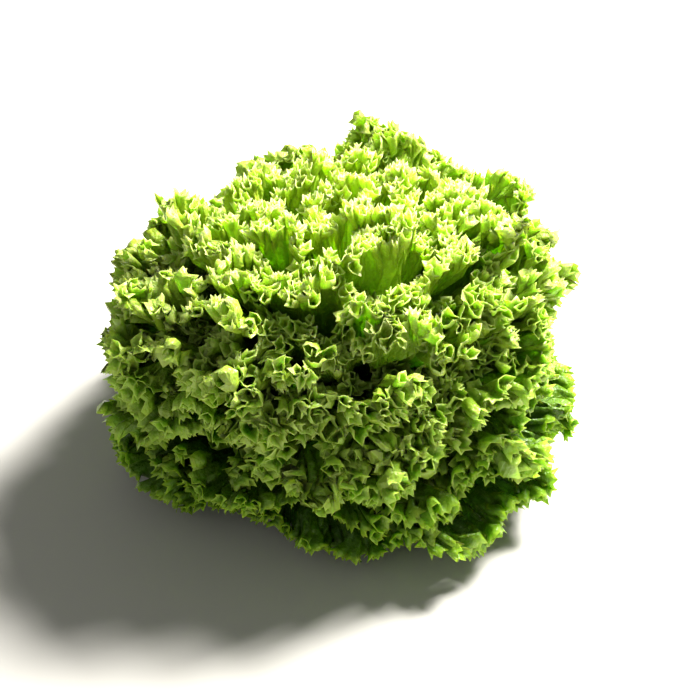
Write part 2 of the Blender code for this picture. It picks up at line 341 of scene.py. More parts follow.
@dataclass
class Shell:
    """The bowl-shaped surface that one leaf follows, as the curve that turns round the stem.

    Args:
        index: the leaf's number from the lowest, from 0.
        canopy: the surface on which it ends.
        stem: the stem from which it rises.
    """

    index: int
    canopy: Canopy
    stem: StemShape
    first_azimuth: float = math.radians(-100.0)
    crowding: float = 1.58
    low_rise: float = math.radians(16.0)
    high_rise: float = math.radians(78.0)
    rise_ease: float = 0.8
    root_gap: float = 0.0004
    outer_half_width: float = 0.112
    inner_half_width: float = 0.054
    full_width_level: float = 0.55
    widest_spread: float = math.radians(78.0)
    root_spread: float = math.radians(25.0)
    spread_by: float = 0.50
    leave_pull: float = 0.42
    arrive_pull: float = 0.36

    def __post_init__(self) -> None:
        """Works out the curve and how far round the leaf reaches."""
        share = self.index / (LEAF_COUNT - 1)
        self.level = ((LEAF_COUNT - self.index) / LEAF_COUNT) ** self.crowding
        self.azimuth = self.first_azimuth + self.index * GOLDEN_ANGLE
        height = mix(self.stem.first_leaf, self.stem.last_leaf, share)
        rise = mix(self.low_rise, self.high_rise, share**self.rise_ease)
        slope = self.canopy.slope(self.level)
        self.root = np.array([self.stem.radius_at(height) + self.root_gap, height])
        self.end = self.canopy.point(self.level)
        self.length = float(np.linalg.norm(self.end - self.root))
        leave = np.array([math.cos(rise), math.sin(rise)])
        arrive = np.array([math.cos(slope), math.sin(slope)])
        self.first = self.root + leave * self.length * self.leave_pull
        self.second = self.end - arrive * self.length * self.arrive_pull
        grown = min(self.level / self.full_width_level, 1.0)
        self.half_width = mix(self.inner_half_width, self.outer_half_width, grown)
        self.spread = min(self.half_width / self.end[0], self.widest_spread)

    def point(self, along: np.ndarray) -> np.ndarray:
        """Finds the shell's curve.

        Args:
            along: shares of the leaf's length.

        Returns:
            Radius and height along the last axis.
        """
        share = np.asarray(along, float)[..., None]
        back = 1 - share
        return (
            back**3 * self.root
            + 3 * back**2 * share * self.first
            + 3 * back * share**2 * self.second
            + share**3 * self.end
        )

    def inward(self, along: np.ndarray) -> np.ndarray:
        """Finds the way across the shell, towards the heart.

        Args:
            along: shares of the leaf's length.

        Returns:
            A unit vector in radius and height along the last axis.
        """
        share = np.asarray(along, float)[..., None]
        back = 1 - share
        tangent = (
            back**2 * (self.first - self.root)
            + 2 * back * share * (self.second - self.first)
            + share**2 * (self.end - self.second)
        )
        tangent /= np.linalg.norm(tangent, axis=-1, keepdims=True)
        return np.stack([-tangent[..., 1], tangent[..., 0]], axis=-1)

    def half_angle(self, along: np.ndarray) -> np.ndarray:
        """Returns half the angle that the leaf spans round the stem, along its length."""
        return mix(self.root_spread, self.spread, np.minimum(along / self.spread_by, 1.0))


@dataclass
class Lattice:
    """Values on an even grid over the unit square, read smoothly between its points.

    Args:
        values: the grid's values, rows along x and columns along y.
    """

    values: np.ndarray

    def read(self, x: np.ndarray, y: np.ndarray) -> np.ndarray:
        """Reads the grid.

        Args:
            x: first coordinates, held from 0 to 1.
            y: second coordinates, held from 0 to 1.

        Returns:
            The value at each place.
        """
        rows, columns = self.values.shape
        down = np.clip(x, 0.0, 1.0) * (rows - 1)
        over = np.clip(y, 0.0, 1.0) * (columns - 1)
        row = np.minimum(down.astype(int), rows - 2)
        column = np.minimum(over.astype(int), columns - 2)
        down -= row
        over -= column
        table = self.values
        near = table[row, column] * (1 - over) + table[row, column + 1] * over
        far = table[row + 1, column] * (1 - over) + table[row + 1, column + 1] * over
        return near * (1 - down) + far * down


@dataclass
class Meander:
    """The winding line of a frilled edge, as a river meanders, for each depth of fold."""

    steepest: float = 2.12
    angles: int = 48
    places: int = 128

    def __post_init__(self) -> None:
        """Winds one fold at each of several angles, for a fold one unit long."""
        turns = np.linspace(0.0, self.steepest, self.angles)[:, None]
        place = np.linspace(0.0, 1.0, self.places + 1)[None, :]
        heading = turns * np.cos(2 * np.pi * place)
        forward = self._summed(np.cos(heading))
        aside = self._summed(np.sin(heading))
        chord = forward[:, -1:]
        self.shift = Lattice(forward / chord - place)
        self.swing = Lattice(aside / chord)
        self.peaks = np.abs(aside / chord).max(axis=1)

    def _summed(self, slope: np.ndarray) -> np.ndarray:
        """Returns the running integral of a slope along each row."""
        steps = (slope[:, 1:] + slope[:, :-1]) / 2 / self.places
        return np.concatenate([np.zeros((len(slope), 1)), np.cumsum(steps, axis=1)], axis=1)

    def wind(self, phase: np.ndarray, depth: np.ndarray) -> tuple[np.ndarray, np.ndarray]:
        """Follows the line.

        Args:
            phase: place along the folds; each whole number is one fold.
            depth: how far the line swings to each side, as a share of a fold's length.

        Returns:
            The shift along the margin and the swing across it, as shares of a fold's length.
        """
        angle = np.interp(depth, self.peaks, np.linspace(0.0, 1.0, self.angles))
        place = phase - np.floor(phase)
        return self.shift.read(angle, place), self.swing.read(angle, place)


@dataclass(frozen=True)
class Winding:
    """One size of fold in a frill, laid on the folds that are larger.

    Args:
        length: how long a fold is, for the heart and for the outside of the head, in metres.
        depth: how far it swings to each side, as a share of its length.
        reach: how far in from the margin it fades, as a share of its length, for the heart and
            for the outside.
        curl: how far its crests are pulled back, for the heart and for the outside.
        lean: how far its crests lean along the margin, either way.
        spread: how uneven the lengths of the folds are.
        fewest: the fewest folds that a margin has.
    """

    length: tuple[float, float]
    depth: float
    reach: tuple[float, float]
    curl: tuple[float, float]
    lean: float
    spread: float
    fewest: int


@dataclass(frozen=True)
class Frill:
    """How a leaf's margin is waved, ruffled, folded and toothed, each finer than the one before.

    Lengths are in metres. A pair is for the heart and for the outside of the head, and a span is
    what is drawn from. The room share and the spare room keep a wave clear of the next leaf.
    """

    depth: tuple[float, float] = (0.036, 0.046)
    wave_length: tuple[float, float] = (0.026, 0.032)
    wave_depth: float = 0.28
    wave_depth_span: tuple[float, float] = (0.6, 1.2)
    wave_reach: float = 0.70
    wave_spread: float = 0.35
    fewest_waves: int = 3
    whole_blade_share: float = 0.15
    room_share: float = 0.56
    spare_room: float = 0.0020
    reach: tuple[float, float] = (0.0025, 0.0045)
    ruffle: Winding = Winding((0.0125, 0.0168), 0.32, (1.50, 0.95), (0.05, 0.20), 0.20, 0.30, 4)
    fold: Winding = Winding((0.0074, 0.0122), 0.52, (1.80, 1.15), (0.15, 0.36), 0.40, 0.28, 6)
    fold_depth_span: tuple[float, float] = (0.65, 1.15)
    drift: float = 1.8
    longest_fold: float = 1.5
    crimp_depth: float = 0.15
    crimp_depth_span: tuple[float, float] = (0.3, 1.4)
    crimp_reach: float = 0.0030
    columns_a_crimp: int = 4
    tooth: tuple[float, float] = (0.0027, 0.0031)
    tooth_span: tuple[float, float] = (0.3, 1.1)
    tooth_reach: float = 0.0040
    tooth_ease: float = 1.5
    teeth_a_fold: tuple[float, float] = (5.6, 6.6)


@dataclass
class Head:
    """Where the leaves of the head are, and how much room each has.

    Args:
        canopy: the surface on which the leaves end.
        stem: the stem from which they rise.
    """

    canopy: Canopy
    stem: StemShape
    neighbours: int = 21
    clear_angle: float = math.radians(6.0)
    open_room: float = 0.040
    places_across: int = 49
    places_along: int = 17

    def __post_init__(self) -> None:
        """Lays out the shells."""
        self.shells = [Shell(index, self.canopy, self.stem) for index in range(LEAF_COUNT)]

    def room(self, shell: Shell, side: int) -> Lattice:
        """Measures the room beside a leaf.

        Args:
            shell: the leaf's shell.
            side: 1 for the side towards the heart and -1 for the outer side.

        Returns:
            The distance to the next leaf over the leaf's width and length.
        """
        over = np.linspace(-1, 1, self.places_across)
        up = np.linspace(0, 1, self.places_along)
        across, along = np.meshgrid(over, up, indexing="ij")
        shape = across.shape
        along = along.ravel()
        azimuth = shell.azimuth + across.ravel() * shell.half_angle(along)
        here = shell.point(along)
        way = shell.inward(along)
        room = np.full(len(along), self.open_room)
        for step in range(1, self.neighbours + 1):
            other = shell.index + side * step
            if not 0 <= other < LEAF_COUNT:
                break
            beside = self.shells[other]
            apart = np.abs(((beside.point(along) - here) * way).sum(axis=1))
            turn = np.abs((azimuth - beside.azimuth + np.pi) % (2 * np.pi) - np.pi)
            uncovered = np.clip((turn - beside.spread) / self.clear_angle, 0, 1)
            room = np.minimum(room, apart + uncovered * self.open_room)
        return Lattice(room.reshape(shape))


@dataclass
class Leaf:
    """One frilled leaf, from its root on the stem to its toothed margin.

    Lengths are in metres. A least_ value is what the heart's leaves have of what the outermost
    have. The shoulder and the corner round the outline off, and the outline waves, each with how
    often it turns and how far it reaches, make it uneven. The fades are how far in from the
    margin the finish changes. The blanks are the flat slabs made so far, by their teeth.

    Args:
        shell: the surface that it follows.
        head: the head that it grows in.
        frill: how its margin is folded.
        meander: the winding line of the folds.
    """

    shell: Shell
    head: Head
    frill: Frill
    meander: Meander
    thickness: float = 0.00050
    thin_margin: float = 0.6
    rib_thickness: float = 0.0040
    rib_half_width: float = 0.16
    rib_end: float = 0.62
    least_rib: float = 0.4
    full_grown_level: float = 0.6
    most_frill: float = 0.5
    shoulder: float = 0.17
    shoulder_bend: int = 3
    corner: float = 0.20
    corner_bend: int = 7
    corner_weight: float = 0.55
    length_span: tuple[float, float] = (-0.008, 0.005)
    least_length_change: float = 0.5
    skew_span: tuple[float, float] = (-0.012, 0.012)
    least_skew: float = 0.4
    nearest: float = 0.004
    side_hold: int = 5
    outline_waves: tuple[tuple[float, float], ...] = ((1.3, 0.006), (2.4, 0.004), (4.1, 0.003))
    blister: float = 0.0020
    blister_step: float = 0.007
    blister_rates: Triple = (1.9, 37.0, 61.0)
    blister_sway: float = 3.0
    floor_gap: float = 0.0020
    # frilled_fade sets where the painted shade of the inner blade fades out towards the margin.
    frilled_fade: float = 0.012
    # edge_fade sets how wide the pale margin with its painted highlight is.
    edge_fade: float = 0.0010
    # age_and_shade_ease shapes the colour by age, which also paints light on the crown and shade on
    # the low leaves.
    age_and_shade_ease: float = 0.45
    columns: int = 801
    margin_steps: int = 201
    smooth_rows: ClassVar[int] = 4
    frill_rows: ClassVar[tuple[float, ...]] = (0.0, 0.32, 0.56, 0.74, 0.87, 0.95, 1.0)
    finer_from: ClassVar[tuple[int, ...]] = (3, 5, 8)
    blanks: ClassVar[dict[int, bpy.types.Mesh]] = {}

    def __post_init__(self) -> None:
        """Draws what is particular to this leaf."""
        shell, frill = self.shell, self.frill
        self.rooms = {side: self.head.room(shell, side) for side in (-1, 1)}
        draw = np.random.default_rng(SEED * 1000 + shell.index)
        self.grown = min(shell.level / self.full_grown_level, 1.0)
        self.frill_share = min(mix(*frill.depth, self.grown) / shell.length, self.most_frill)
        self.depth = self.frill_share * shell.length
        margin, self.margin_length = self._margin()
        waves = round(self.margin_length / mix(*frill.wave_length, self.grown))
        self.waves = max(waves, frill.fewest_waves)
        halves = 2 * self.waves + 2
        self.wave_ends = self._places(draw, self.waves, frill.wave_spread)
        self.wave_depths = draw.uniform(*frill.wave_depth_span, halves)
        self.wave_reaches = draw.uniform(-1, 1, halves) * mix(*frill.reach, self.grown)
        self.length_change = draw.uniform(*self.length_span)
        self.length_change *= mix(self.least_length_change, 1.0, self.grown)
        self.skew = draw.uniform(*self.skew_span) * mix(self.least_skew, 1.0, self.grown)
        self.outline = draw.uniform(0, 2 * np.pi, len(self.outline_waves))
        self.draw = draw
        places = np.linspace(0, 1, self.columns)
        self.across = np.interp(places, np.linspace(0, 1, len(margin)), margin)
        self.lengthways = self.rows()[:, None]
        self.frilled = np.maximum(self.lengthways * 2 - 1, 0)
        self.inset = (1 - self.frilled) * self.depth

    @classmethod
    def rows(cls) -> np.ndarray:
        """Returns where the rows of the mesh are, from 0 at the root; the frill starts at 0.5."""
        plain = np.arange(cls.smooth_rows) / cls.smooth_rows / 2
        return np.concatenate([plain, 0.5 + np.array(cls.frill_rows) / 2])

    def _full(self, across: np.ndarray) -> np.ndarray:
        """Returns the share of its length that the leaf has at a share of its half width."""
        away = np.abs(across)
        return 1 - self.shoulder * away**self.shoulder_bend - self.corner * away**self.corner_bend

    def _margin(self) -> tuple[np.ndarray, float]:
        """Measures the plain margin, so that its waves are even also round the corners.

        Returns:
            The share of the half width at even steps along the margin, and the margin's length.
        """
        across = np.linspace(-1, 1, self.margin_steps)
        aside = across * self.shell.spread * self.shell.end[0]
        ahead = self._full(across) * self.shell.length * self.corner_weight
        run = np.concatenate([[0.0], np.cumsum(np.hypot(np.diff(aside), np.diff(ahead)))])
        even = np.interp(np.linspace(0, run[-1], self.margin_steps), run, across)
        return even, float(run[-1])

    @staticmethod
    def _places(draw: np.random.Generator, count: int, spread: float) -> np.ndarray:
        """Draws the ends of uneven steps.

        Args:
            draw: the leaf's chance.
            count: steps.
            spread: how far a step's length may be from the mean, as a share of it.

        Returns:
            The places, from 0 to 1.
        """
        steps = draw.uniform(1 - spread, 1 + spread, count)
        return np.concatenate([[0.0], np.cumsum(steps)]) / steps.sum()

    def _evened(self, points: np.ndarray, columns: int) -> np.ndarray:
        """Moves the columns to even steps along the folded margin.

        Args:
            points: the leaf's points, row by row.
            columns: how many columns to return.

        Returns:
            The points at the new columns, of which the places across the leaf are kept too.
        """
        run = self._run(points)
        place = np.interp(np.linspace(0, run[-1], columns), run, np.arange(len(run)))
        first = np.minimum(place.astype(int), len(run) - 2)
        part = place - first
        self.across = mix(self.across[first], self.across[first + 1], part)
        return mix(points[:, first], points[:, first + 1], part[:, None])

    @staticmethod
    def _run(points: np.ndarray) -> np.ndarray:
        """Returns the distance along the margin up to each column."""
        steps = np.linalg.norm(np.diff(points[-1], axis=0), axis=1)
        return np.concatenate([[0.0], np.cumsum(steps)])

    def _phase(self, count: int, spread: float, columns: int) -> np.ndarray:
        """Counts uneven folds along the margin.

        Args:
            count: how many folds there are.
            spread: how uneven they are.
            columns: how many columns the leaf has.

        Returns:
            How many folds each column is from the leaf's side.
        """
        ends = self._places(self.draw, count, spread)
        return np.interp(np.linspace(0, 1, columns), ends, np.arange(count + 1))

    @staticmethod
    def _halves(phase: np.ndarray, values: np.ndarray) -> np.ndarray:
        """Returns a value that changes smoothly from each half of a wave to the next."""
        return np.interp(phase * 2, np.arange(len(values)) + 0.5, values)

    def _waved(self) -> np.ndarray:
        """Places the leaf with its widest waves.

        Returns:
            The points of each row, from the root to the margin and across the leaf.
        """
        shell, frill, frilled = self.shell, self.frill, self.frilled
        across = self.across
        wave = np.interp(np.linspace(0, 1, self.columns), self.wave_ends, np.arange(self.waves + 1))
        plain = np.minimum(self.lengthways * 2, 1.0)
        share = plain * (1 - self.frill_share) + frilled * self.frill_share
        azimuth = shell.azimuth + across * shell.half_angle(share)
        change = self.length_change + self.skew * across
        change = change + self._halves(wave, self.wave_reaches) * frilled**2
        for (turns, reach), phase in zip(self.outline_waves, self.outline):
            change = change + reach * np.sin(across * np.pi * turns + phase)
        change = change - self.head.canopy.dented(azimuth, shell.level)
        along = share * (self._full(across) + change / shell.length)
        side = np.broadcast_to((across + 1) / 2, along.shape)
        inside = self.rooms[1].read(side, along)
        outside = self.rooms[-1].read(side, along)
        radius = np.maximum(shell.point(along)[..., 0], self.nearest)
        span = np.interp(wave, np.arange(self.waves + 1), np.gradient(self.wave_ends))
        span = span * self.margin_length * shell.half_angle(share) / shell.spread
        reach = frill.wave_reach * self.margin_length / self.waves
        flare = mix(np.exp(-self.inset / reach), smooth(share), frill.whole_blade_share)
        beside = np.where(wave - np.floor(wave) < 0.5, inside, outside)
        limit = frill.room_share * beside + frill.spare_room
        depth = self._halves(wave, self.wave_depths) * frill.wave_depth * span
        depth = np.minimum(depth, limit) * flare
        shift, swing = self.meander.wind(np.broadcast_to(wave, depth.shape), depth / span)
        azimuth = azimuth + shift * span / radius * (1 - np.abs(across) ** self.side_hold)
        curve = shell.point(along) + shell.inward(along) * (swing * span)[..., None]
        points = [curve[..., 0] * np.cos(azimuth), curve[..., 0] * np.sin(azimuth), curve[..., 1]]
        return self.head.canopy.settle(np.stack(points, axis=-1))

    def _frame(self, points: np.ndarray) -> tuple[np.ndarray, np.ndarray, np.ndarray, np.ndarray]:
        """Finds the directions of a surface.

        Args:
            points: the surface's points, row by row.

        Returns:
            The unit normals, the unit directions towards the margin, the unit directions along
            the margin, and the distance along it from each column to the next.
        """
        over = np.gradient(points, axis=1)
        up = np.gradient(points, self.lengthways[:, 0], axis=0)
        normal = np.cross(up, over)
        normal /= np.linalg.norm(normal, axis=-1, keepdims=True) + LEAST_LENGTH
        up /= np.linalg.norm(up, axis=-1, keepdims=True) + LEAST_LENGTH
        way = np.linalg.norm(over, axis=-1, keepdims=True) + LEAST_LENGTH
        return normal, up, over / way, way

    def _folds(self, points: np.ndarray, winding: Winding) -> int:
        """Counts the folds of one size that fit the margin.

        Args:
            points: the leaf with its larger folds.
            winding: the size of the folds.

        Returns:
            How many there are.
        """
        usual = mix(*winding.length, self.grown)
        return max(round(self._run(points)[-1] / usual), winding.fewest)

    def _wound(self, points: np.ndarray, winding: Winding, count: int) -> np.ndarray:
        """Adds one size of fold.

        Args:
            points: the leaf with its larger folds, its columns even along the margin.
            winding: the size of the folds.
            count: how many of them the margin has.

        Returns:
            The folded points.
        """
        columns = points.shape[1]
        phase = self._phase(count, winding.spread, columns)
        frill = self.frill
        halves = 2 * count + 2
        drift = self._halves(phase, self.draw.uniform(-frill.drift, frill.drift, halves))
        depths = self.draw.uniform(*frill.fold_depth_span, halves)
        leans = self.draw.uniform(-winding.lean, winding.lean, halves)
        normal, up, over, way = self._frame(points)
        usual = mix(*winding.length, self.grown)
        length = np.minimum(way / np.gradient(phase)[:, None], frill.longest_fold * usual)
        flare = np.exp(-self.inset / (mix(*winding.reach, self.grown) * usual))
        depth = self._halves(phase, depths) * winding.depth * flare
        shift, swing = self.meander.wind(phase + drift * (1 - flare) ** 2, depth)
        shift = shift + self._halves(phase, leans) * np.abs(swing)
        curl = mix(*winding.curl, self.grown) * np.abs(swing) * flare
        moved = normal * swing[..., None] + over * shift[..., None] - up * curl[..., None]
        return points + moved * length

    def _blistered(self, points: np.ndarray) -> np.ndarray:
        """Adds the blisters of the plain blade.

        Args:
            points: the leaf without them.

        Returns:
            The leaf with them.
        """
        normal = self._frame(points)[0]
        along = self.lengthways
        rate, sway_rate, rise_rate = self.blister_rates
        over = np.linspace(0, self.margin_length / self.blister_step, points.shape[1])
        sway = self.blister_sway * np.sin(along * sway_rate)
        height = np.sin(over * rate + sway) * np.sin(along * rise_rate + over)
        height = height * self.blister * smooth(along * 2) * (1 - self.frilled**2)
        return points + normal * height[..., None]

    def _toothed(self, points: np.ndarray, teeth: int) -> np.ndarray:
        """Adds the teeth, each bent to the other side from the last.

        Args:
            points: the leaf with its folds, two columns to a tooth.
            teeth: how many teeth there are.

        Returns:
            The leaf with its teeth.
        """
        frill = self.frill
        heights = self.draw.uniform(*frill.tooth_span, points.shape[1])
        crimps = self.draw.uniform(*frill.crimp_depth_span, points.shape[1]) * frill.crimp_depth
        normal, up, over, way = self._frame(points)
        tooth = np.linspace(0, teeth, points.shape[1])
        depth = crimps * np.exp(-self.inset / frill.crimp_reach)
        shift, swing = self.meander.wind(np.broadcast_to(tooth / 2 + 0.25, depth.shape), depth)
        crimp = normal * swing[..., None] + over * shift[..., None]
        crimp = crimp * way * frill.columns_a_crimp
        height = heights * np.cos(np.pi * tooth) ** 2 * mix(*frill.tooth, self.grown)
        height = height * np.clip(1 - self.inset / frill.tooth_reach, 0, 1) ** frill.tooth_ease
        return points + crimp + up * height[..., None]

    def _middle(self) -> np.ndarray:
        """Folds the leaf, the widest folds first, and lays it on the floor.

        Returns:
            The points of its middle surface.
        """
        frill = self.frill
        points = self._evened(self._blistered(self._waved()), self.columns)
        points = self._wound(points, frill.ruffle, self._folds(points, frill.ruffle))
        count = self._folds(points, frill.fold)
        teeth = 4 * round(count * mix(*frill.teeth_a_fold, self.grown) / 4)
        points = self._wound(self._evened(points, 2 * teeth + 1), frill.fold, count)
        points = self._toothed(points, teeth)
        height = points[..., 2]
        points[..., 2] = (height + np.hypot(height, self.floor_gap)) / 2 + self.thickness
        return points

    def _half_thickness(self) -> np.ndarray:
        """Works out the leaf's thickness, which is most along its midrib.

        Returns:
            Half of it, row by row.
        """
        rib = np.exp(-((self.across / self.rib_half_width) ** 2))
        rib = rib * np.clip(1 - self.lengthways / self.rib_end, 0, 1)
        rib = self.rib_thickness * rib * mix(self.least_rib, 1.0, self.shell.level)
        sheet = self.thickness * np.where(self.lengthways >= 1.0, self.thin_margin, 1.0)
        return np.maximum(rib, sheet) / 2

    @classmethod
    def blank(cls, teeth: int) -> bpy.types.Mesh:
        """Makes the flat slab that the leaves with one number of teeth are bent from.

        Args:
            teeth: teeth round the margin, a multiple of 4.

        Returns:
            A closed slab, x from -1 to 1, y from 0 to 1 and z at -1 and 1, with its UV map.
        """
        if teeth in cls.blanks:
            return cls.blanks[teeth]
        rows = cls.rows()
        bands = len(rows) - 1
        mesh = bmesh.new()
        bmesh.ops.create_grid(mesh, x_segments=teeth // 4, y_segments=bands, size=1.0)
        for vert in mesh.verts:
            vert.co.y = rows[round((vert.co.y + 1) / 2 * bands)]
        for start in cls.finer_from:
            finer = [
                edge for edge in mesh.edges
                if edge.verts[0].co.y == edge.verts[1].co.y and edge.verts[0].co.y >= rows[start]
            ]
            bmesh.ops.subdivide_edges(mesh, edges=finer, cuts=1, use_grid_fill=True)
        made = bmesh.ops.extrude_face_region(mesh, geom=mesh.faces[:], use_keep_orig=True)
        front = {item for item in made["geom"] if isinstance(item, bmesh.types.BMVert)}
        for vert in mesh.verts:
            vert.co.z = 1.0 if vert in front else -1.0
        bmesh.ops.recalc_face_normals(mesh, faces=mesh.faces[:])
        layer = mesh.loops.layers.uv.new("blade")
        for face in mesh.faces:
            face.smooth = True
            for loop in face.loops:
                loop[layer].uv = ((loop.vert.co.x + 1) / 2, loop.vert.co.y)
        data = bpy.data.meshes.new(f"blank_{teeth}")
        mesh.to_mesh(data)
        mesh.free()
        cls.blanks[teeth] = data
        return data

    @staticmethod
    def _face_ways(data: bpy.types.Mesh, middle: np.ndarray, face: np.ndarray) -> np.ndarray:
        """Finds which way each of the leaf's two faces lies from its middle.

        Args:
            data: the blank, with its faces.
            middle: the place of each vertex in the middle of the leaf.
            face: 1 for a vertex of the front face and -1 for one of the back.

        Returns:
            A unit vector for each vertex, out of the face that it belongs to.
        """
        data.vertices.foreach_set("co", middle.astype(np.float32).ravel())
        data.update()
        corners = np.zeros(len(data.loops), np.int32)
        data.loops.foreach_get("vertex_index", corners)
        counts = np.zeros(len(data.polygons), np.int32)
        data.polygons.foreach_get("loop_total", counts)
        normals = np.zeros(len(data.polygons) * 3, np.float32)
        data.polygons.foreach_get("normal", normals)
        owner = np.repeat(np.arange(len(counts)), counts)
        sides = np.bincount(owner, face[corners]) / counts
        weight = (np.abs(sides) > 0.99)[owner][:, None]
        pull = normals.reshape(-1, 3)[owner] * weight
        sums = [np.bincount(corners, pull[:, axis], len(middle)) for axis in range(3)]
        ways = np.stack(sums, axis=1)
        return ways / (np.linalg.norm(ways, axis=1, keepdims=True) + LEAST_LENGTH)

    def build(self, material: bpy.types.Material) -> bpy.types.Object:
        """Bends a blank into the leaf.

        Args:
            material: the leaf's finish.

        Returns:
            The leaf's object.
        """
        points = self._middle()
        teeth = points.shape[1] // 2
        data = self.blank(teeth).copy()
        flat = np.zeros(len(data.vertices) * 3, np.float32)
        data.vertices.foreach_get("co", flat)
        flat = flat.reshape(-1, 3).astype(float)
        column = np.round((flat[:, 0] + 1) * teeth).astype(int)
        row = np.abs(flat[:, 1][:, None] - self.rows()).argmin(axis=1)
        middle = points[row, column]
        half = self._half_thickness()[row, column]
        points = middle + self._face_ways(data, middle, flat[:, 2]) * half[:, None]
        data.vertices.foreach_set("co", points.astype(np.float32).ravel())
        inset = self.inset[row, 0]
        # Masks for the finish: frilled fades out the painted shade of the inner blade, edge marks
        # the pale margin with its painted highlight, and age gives the leaf's age, which also sets
        # painted light on the crown and painted shade low down.
        values = {
            "frilled": np.exp(-inset / self.frilled_fade),
            "edge": np.exp(-inset / self.edge_fade),
            "age": np.full(len(flat), self.shell.level**self.age_and_shade_ease),
        }
        for name, value in values.items():
            layer = data.attributes.new(name, "FLOAT", "POINT")
            layer.data.foreach_set("value", value.astype(np.float32))
        data.update()
        data.materials.append(material)
        name = f"frilled_leaf_{self.shell.index + 1:02d}"
        data.name = name
        leaf = bpy.data.objects.new(name, data)
        bpy.context.scene.collection.objects.link(leaf)
        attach(leaf, "root")
        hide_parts(f"leaf_{self.shell.index + 1:02d}")
        return leaf


class Nodes:
    """A material's node tree, with its usual pieces at hand."""

    def __init__(self, name: str) -> None:
        """Starts a material with one shader.

        Args:
            name: the material's name.
        """
        self.material = bpy.data.materials.new(name)
        self.material.use_nodes = True
        self.tree = self.material.node_tree
        self.shader = self.tree.nodes["Principled BSDF"]

    def link(self, source: bpy.types.NodeSocket, target: bpy.types.NodeSocket) -> None:
        """Joins two sockets."""
        self.tree.links.new(source, target)

    def attribute(self, name: str) -> bpy.types.NodeSocket:
        """Reads a value from the mesh.

        Args:
            name: what the mesh keeps it under.

        Returns:
            The value.
        """
        node = self.tree.nodes.new("ShaderNodeAttribute")
        node.attribute_name = name
        return node.outputs["Fac"]

    def place(self) -> bpy.types.NodeSocket:
        """Returns the place on the object."""
        return self.tree.nodes.new("ShaderNodeTexCoord").outputs["Object"]

    def grain(self, cells_a_metre: float) -> bpy.types.NodeSocket:
        """Makes a cloudy grain over the object.

        Args:
            cells_a_metre: how fine it is.

        Returns:
            Its value, from 0 to 1.
        """
        noise = self.tree.nodes.new("ShaderNodeTexNoise")
        noise.inputs["Scale"].default_value = cells_a_metre
        noise.inputs["Detail"].default_value = 2.0
        self.link(self.place(), noise.inputs["Vector"])
        return noise.outputs["Fac"]

    def surface(self, roughness: float, gloss: float) -> None:
        """Sets how smooth the surface is and how much it shines."""
        self.shader.inputs["Roughness"].default_value = roughness
        self.shader.inputs["Specular IOR Level"].default_value = gloss

    def glow(self, share: float, radius: Triple, scale: float) -> None:
        """Lets light through the skin.

        Args:
            share: how much of the light goes through.
            radius: how far each colour spreads, against the scale.
            scale: the furthest spread in metres.
        """
        self.shader.inputs["Subsurface Weight"].default_value = share
        self.shader.inputs["Subsurface Radius"].default_value = radius
        self.shader.inputs["Subsurface Scale"].default_value = scale

    def blend(
        self, share: Value, first: Value, second: Value, kind: str = "MIX"
    ) -> bpy.types.NodeSocket:
        """Mixes two colours.

        Args:
            share: a socket or a number, 0 for the first colour.
            first: a socket or a colour.
            second: a socket or a colour.
            kind: the blend type.

        Returns:
            The mixed colour.
        """
        node = self.tree.nodes.new("ShaderNodeMix")
        node.data_type = "RGBA"
        node.blend_type = kind
        for name, value in (("Factor", share), ("A", first), ("B", second)):
            if isinstance(value, bpy.types.NodeSocket):
                self.link(value, node.inputs[name])
            elif name == "Factor":
                node.inputs[name].default_value = value
            else:
                node.inputs[name].default_value = (*value, 1)
        return node.outputs["Result"]

    def sum(self, kind: str, first: Value, second: Value) -> bpy.types.NodeSocket:
        """Works out one number from two.

        Args:
            kind: the operation.
            first: a socket or a number.
            second: a socket or a number.

        Returns:
            The result.
        """
        node = self.tree.nodes.new("ShaderNodeMath")
        node.operation = kind
        for place, value in enumerate((first, second)):
            if isinstance(value, bpy.types.NodeSocket):
                self.link(value, node.inputs[place])
            else:
                node.inputs[place].default_value = value
        return node.outputs[0]


